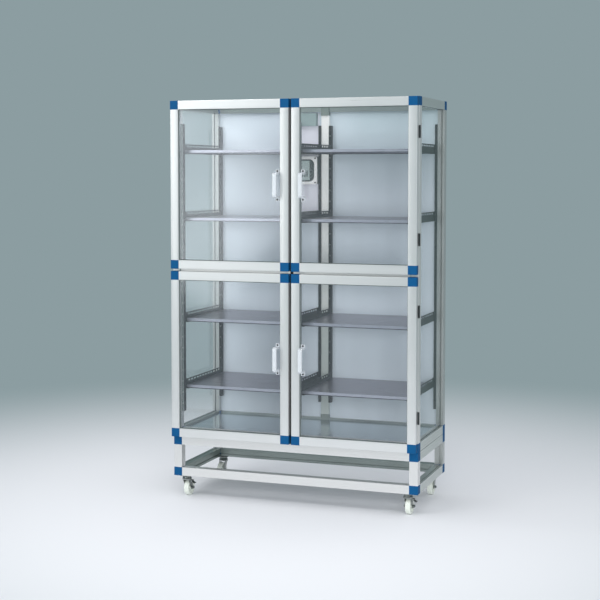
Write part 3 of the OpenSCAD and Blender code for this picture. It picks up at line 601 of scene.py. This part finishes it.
# %% Helpers for modelling
def start():
    """Leaves edit mode and deselects everything, so that the next operator acts on one piece."""
    if bpy.context.object and bpy.context.object.mode != "OBJECT":
        bpy.ops.object.mode_set(mode="OBJECT")
    bpy.ops.object.select_all(action="DESELECT")


def pick(piece, test):
    """Selects the faces that pass a test of their centre and normal, in edit mode."""
    bpy.ops.object.mode_set(mode="OBJECT")
    for part in (piece.data.vertices, piece.data.edges, piece.data.polygons):
        part.foreach_set("select", [False] * len(part))
    for face in piece.data.polygons:
        face.select = test(face.center, face.normal)
    bpy.ops.object.mode_set(mode="EDIT")
    bpy.ops.mesh.select_mode(type="FACE")


def settle(piece, name, material, body):
    """Applies the piece's place, names it, and gives it its finish and the body it rides on."""
    start()
    piece.select_set(True)
    bpy.context.view_layer.objects.active = piece
    bpy.ops.object.transform_apply(location=True, rotation=True, scale=True)
    piece.name = name
    piece.data.materials.clear()
    piece.data.materials.append(material)
    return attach(piece, body)


def copy_to(piece, name, place, material, body, turn=(0, 0, 0)):
    """A copy with its own mesh, at a place."""
    made = piece.copy()
    made.data = piece.data.copy()
    bpy.context.scene.collection.objects.link(made)
    made.location = place
    made.rotation_euler = turn
    return settle(made, name, material, body)


def apply(piece, kind, **values):
    """Adds a modifier, sets it up and applies it."""
    bpy.context.view_layer.objects.active = piece
    changed = piece.modifiers.new(kind.lower(), kind)
    for key, value in values.items():
        setattr(changed, key, value)
    bpy.ops.object.modifier_apply(modifier=changed.name)


print("modelling helpers ready")

# %% [markdown]
# ### Screws of the pulls and the dryer
# A pan-head screw is a low cylinder whose top is inset and lifted three times into a dome, with a
# cross cut into it. A squashed sphere would be quicker, but it has no straight rim. The cross is
# cut with a Boolean modifier, because two thin blocks describe it better than any edit.


# %% Pan-head screw
SMOOTH_BELOW = math.radians(35)  # faces that meet at less than this are shaded as one
# Shares of the head's radius:
RIM_HEIGHT = 0.4
DOME_RINGS = ((0.12, 0.14), (0.2, 0.1), (0.3, 0.05))  # inset and lift of each ring
CROSS_SIZE, CROSS_MIDDLE = (1.05, 0.2, 0.5), 0.62


def pan_head(radius):
    """A pan-head screw round the origin, facing -Y."""
    start()
    bpy.ops.mesh.primitive_cylinder_add(vertices=32, radius=radius, depth=radius * RIM_HEIGHT,
                                        location=(0, 0, radius * RIM_HEIGHT / 2))
    head = bpy.context.object
    bpy.ops.object.transform_apply(location=True)
    bpy.ops.object.mode_set(mode="EDIT")
    for width, lift in DOME_RINGS:
        pick(head, lambda c, n: n.z > 0.9 and c.z > radius * 0.3)
        bpy.ops.mesh.inset(thickness=radius * width, depth=0)
        bpy.ops.transform.translate(value=(0, 0, radius * lift))
    bpy.ops.object.mode_set(mode="OBJECT")
    for turn in (0, math.pi / 2):
        start()
        bpy.ops.mesh.primitive_cube_add(size=1, location=(0, 0, radius * CROSS_MIDDLE),
                                        rotation=(0, 0, turn))
        cutter = bpy.context.object
        cutter.scale = [radius * share for share in CROSS_SIZE]
        apply(head, "BOOLEAN", operation="DIFFERENCE", object=cutter, solver="EXACT")
        bpy.data.objects.remove(cutter)
    head.rotation_euler = (math.pi / 2, 0, 0)
    start()
    head.select_set(True)
    bpy.context.view_layer.objects.active = head
    bpy.ops.object.transform_apply(rotation=True)
    bpy.ops.object.shade_smooth_by_angle(angle=SMOOTH_BELOW)
    return head


HEAD_RADIUS = 0.0042
PULL_FOOT = 0.004  # the thickness of a pull's foot, in front of the clear sheet
PULL_SCREW_INSET, BEZEL_SCREW_INSET = 0.007, 0.009
PLATE_SCREW_IN, PLATE_SCREW_UP = 0.012, 0.07  # from the mounting plate's lower left corner

screw_steel = sheet_metal("screw_steel", rgb(40, 41, 46), metallic=0.6, gloss=0.4)
head = pan_head(HEAD_RADIUS)
for key in door_keys:
    low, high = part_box(f"door_handle_{key}")
    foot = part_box(f"door_panel_{key}")[0].y - PULL_FOOT
    for end, z in (("low", low.z + PULL_SCREW_INSET), ("high", high.z - PULL_SCREW_INSET)):
        copy_to(head, f"handle_screw_{key}_{end}", ((low.x + high.x) / 2, foot, z), screw_steel,
                f"door_{key}")
low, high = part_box("dryer_bezel")
for i, (x, z) in enumerate(((low.x, low.z), (high.x, low.z), (low.x, high.z), (high.x, high.z))):
    x += BEZEL_SCREW_INSET if x < (low.x + high.x) / 2 else -BEZEL_SCREW_INSET
    z += BEZEL_SCREW_INSET if z < (low.z + high.z) / 2 else -BEZEL_SCREW_INSET
    copy_to(head, f"dryer_screw_{i}", (x, low.y, z), screw_steel, "cabinet")
low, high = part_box("dryer_mounting_plate")
copy_to(head, "plate_screw", (low.x + PLATE_SCREW_IN, low.y, low.z + PLATE_SCREW_UP), screw_steel,
        "cabinet")
print("screws placed, with", len(head.data.polygons), "faces each")
bpy.data.objects.remove(head)

# %% [markdown]
# ### Vent plate of the dryer
# A thin plate is fixed to the right end of the dryer's core and reaches over part of the louvre,
# and air enters through its three upright slots. Slots could be painted on, but from the side
# they would look flat. They are cut right through with a Boolean modifier, and a narrow bevel
# softens every edge.

# %% Vent plate
VENT_THICKNESS = 0.0036
CORE_LAP = 0.02  # how far the plate laps over the core
PLATE_END = 0.042  # from the bezel's right edge
SLOT_PLACES = (0.079, 0.0665, 0.0545)  # from the bezel's right edge
SLOT_WIDTH, SLOT_HEIGHT = 0.0065, 0.032
SLOT_MIDDLE = 0.032  # above the core's foot
VENT_BEVEL = 0.0005

core_low, core_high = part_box("dryer_core")
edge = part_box("dryer_bezel")[1].x
left, right = core_high.x - CORE_LAP, edge - PLATE_END
start()
bpy.ops.mesh.primitive_cube_add(size=1, location=((left + right) / 2,
                                                  core_low.y - VENT_THICKNESS / 2,
                                                  (core_low.z + core_high.z) / 2))
vents = bpy.context.object
vents.scale = (right - left, VENT_THICKNESS, core_high.z - core_low.z)
bpy.ops.object.transform_apply(location=True, scale=True)
for back in SLOT_PLACES:
    start()
    bpy.ops.mesh.primitive_cube_add(size=1, location=(edge - back, core_low.y,
                                                      core_low.z + SLOT_MIDDLE))
    cutter = bpy.context.object
    cutter.scale = (SLOT_WIDTH, VENT_THICKNESS * 4, SLOT_HEIGHT)
    apply(vents, "BOOLEAN", operation="DIFFERENCE", object=cutter, solver="EXACT")
    bpy.data.objects.remove(cutter)
apply(vents, "BEVEL", width=VENT_BEVEL, segments=2)
vent_plastic = moulded("vent_plastic", rgb(196, 214, 212), grain=0.3, gloss=0.5)
settle(vents, "dryer_vent_plate", vent_plastic, "cabinet")
print("vent plate placed, with", len(vents.data.polygons), "faces")

# %% [markdown]
# ### Nuts on the castor axles
# A hex nut is a six-sided cylinder with a raised ring on its face, a fine bevel where the wrench
# meets it, and a short domed thread end. The thread itself is too fine to see, so it isn't cut.
# Each axle has a nut at both ends.


# %% Axle nut
# Shares of the nut's radius:
RING_INSET, RING_LIFT = 0.12, 0.09
DISH_INSET, DISH_DEPTH = 0.2, 0.06
NUT_BEVEL = 0.05
THREAD_RADIUS, THREAD_RIM, THREAD_DOME = 0.5, 0.12, 0.08
THREAD_LENGTH = 1.5  # times the nut's depth


def axle_nut(radius, depth):
    """A hex nut with a thread end, round the origin, facing +X."""
    start()
    bpy.ops.mesh.primitive_cylinder_add(vertices=6, radius=radius, depth=depth,
                                        location=(0, 0, depth / 2))
    nut = bpy.context.object
    bpy.ops.object.transform_apply(location=True)
    bpy.ops.object.mode_set(mode="EDIT")
    pick(nut, lambda c, n: n.z > 0.9)
    bpy.ops.mesh.inset(thickness=radius * RING_INSET, depth=0)
    bpy.ops.transform.translate(value=(0, 0, radius * RING_LIFT))
    pick(nut, lambda c, n: n.z > 0.99)
    bpy.ops.mesh.inset(thickness=radius * DISH_INSET, depth=-radius * DISH_DEPTH)
    bpy.ops.object.mode_set(mode="OBJECT")
    apply(nut, "BEVEL", width=radius * NUT_BEVEL, segments=2)
    start()
    bpy.ops.mesh.primitive_cylinder_add(vertices=24, radius=radius * THREAD_RADIUS,
                                        depth=depth * THREAD_LENGTH,
                                        location=(0, 0, depth * THREAD_LENGTH / 2))
    thread = bpy.context.object
    bpy.ops.object.mode_set(mode="EDIT")
    pick(thread, lambda c, n: n.z > 0.9)
    bpy.ops.mesh.inset(thickness=radius * THREAD_RIM, depth=radius * THREAD_DOME)
    bpy.ops.object.mode_set(mode="OBJECT")
    nut.select_set(True)
    bpy.context.view_layer.objects.active = nut
    bpy.ops.object.join()
    nut.rotation_euler = (0, math.pi / 2, 0)
    bpy.ops.object.transform_apply(rotation=True)
    bpy.ops.object.shade_smooth_by_angle(angle=SMOOTH_BELOW)
    return nut


NUT_RADIUS, NUT_DEPTH = 0.0075, 0.0045
NUT_PLACE = 0.0199  # the fork's outer face, from the wheel's middle

nut = axle_nut(NUT_RADIUS, NUT_DEPTH)
nut_steel = sheet_metal("nut_steel", rgb(150, 154, 154), gloss=0.32)
for key in castor_keys:
    low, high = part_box(f"castor_wheel_{key}")
    middle = (low + high) / 2
    for side, out, turn in (("right", NUT_PLACE, 0), ("left", -NUT_PLACE, math.pi)):
        copy_to(nut, f"axle_nut_{key}_{side}", (middle.x + out, middle.y, middle.z), nut_steel,
                f"castor_{key}", (0, 0, turn))
print("nuts placed, with", len(nut.data.polygons), "faces each")
bpy.data.objects.remove(nut)

# %% [markdown]
# ### Strips that hold the clear sheets
# A thin soft strip runs round each clear sheet, where the sheet enters its groove. Four straight
# pieces would leave gaps at the corners, and a curve with a profile would need its corners
# trimmed. So it starts as a plane the size of the opening: the plane is inset, its middle is
# deleted, and the ring left is pulled out and its edges are rounded.


# %% Glazing strips
STRIP_BEVEL = 0.0007
DOOR_STRIP = dict(width=0.003, proud=0.0024)
SIDE_STRIP = dict(width=0.0014, proud=0.0008)


def glazing_strip(name, low, high, outward, body, width, proud):
    """A ring round the opening between two corners of a flat sheet; outward is its normal."""
    axis = max(range(3), key=lambda i: abs(outward[i]))
    spread = [i for i in range(3) if i != axis]
    start()
    bpy.ops.mesh.primitive_plane_add(size=1)
    strip = bpy.context.object
    strip.rotation_euler = {0: (0, math.pi / 2, 0), 1: (math.pi / 2, 0, 0)}[axis]
    bpy.ops.object.transform_apply(rotation=True)
    scale = [1, 1, 1]
    for i in spread:
        scale[i] = high[i] - low[i]
    strip.scale = scale
    strip.location = [(low[i] + high[i]) / 2 for i in range(3)]
    bpy.ops.object.transform_apply(location=True, scale=True)
    bpy.ops.object.mode_set(mode="EDIT")
    bpy.ops.mesh.select_all(action="SELECT")
    bpy.ops.mesh.inset(thickness=width, depth=0)
    bpy.ops.mesh.delete(type="FACE")
    bpy.ops.mesh.select_all(action="SELECT")
    pull = [o * proud for o in outward]
    bpy.ops.mesh.extrude_region_move(TRANSFORM_OT_translate=dict(value=pull))
    bpy.ops.mesh.select_all(action="SELECT")
    bpy.ops.mesh.normals_make_consistent(inside=False)
    bpy.ops.object.mode_set(mode="OBJECT")
    apply(strip, "BEVEL", width=STRIP_BEVEL, segments=2)
    return settle(strip, name, strip_rubber, body)


IN_GROOVE = 0.0065  # how deep a sheet's edge sits in its groove

strip_rubber = moulded("strip_rubber", rgb(88, 100, 98), grain=0.25, gloss=0.6)
strips = []
for key in door_keys:
    low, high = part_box(f"door_panel_{key}")
    strips.append(glazing_strip(
        f"door_strip_{key}", (low.x + IN_GROOVE, low.y, low.z + IN_GROOVE),
        (high.x - IN_GROOVE, low.y, high.z - IN_GROOVE), (0, -1, 0), f"door_{key}",
        **DOOR_STRIP))
low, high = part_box("side_panels")
for side, x, outward in (("left", low.x, -1), ("right", high.x, 1)):
    strips.append(glazing_strip(
        f"side_strip_{side}", (x, low.y + IN_GROOVE, low.z + IN_GROOVE),
        (x, high.y - IN_GROOVE, high.z - IN_GROOVE), (outward, 0, 0), "cabinet",
        **SIDE_STRIP))
print(len(strips), "strips placed")

# %% [markdown]
# ## Finish
# The finishes and the small pieces must not make the cabinet bigger than it was measured, so its
# box after them is printed.

# %% Finish
low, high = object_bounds()
print("box after", [round(v, 4) for v in (*low, *high)])
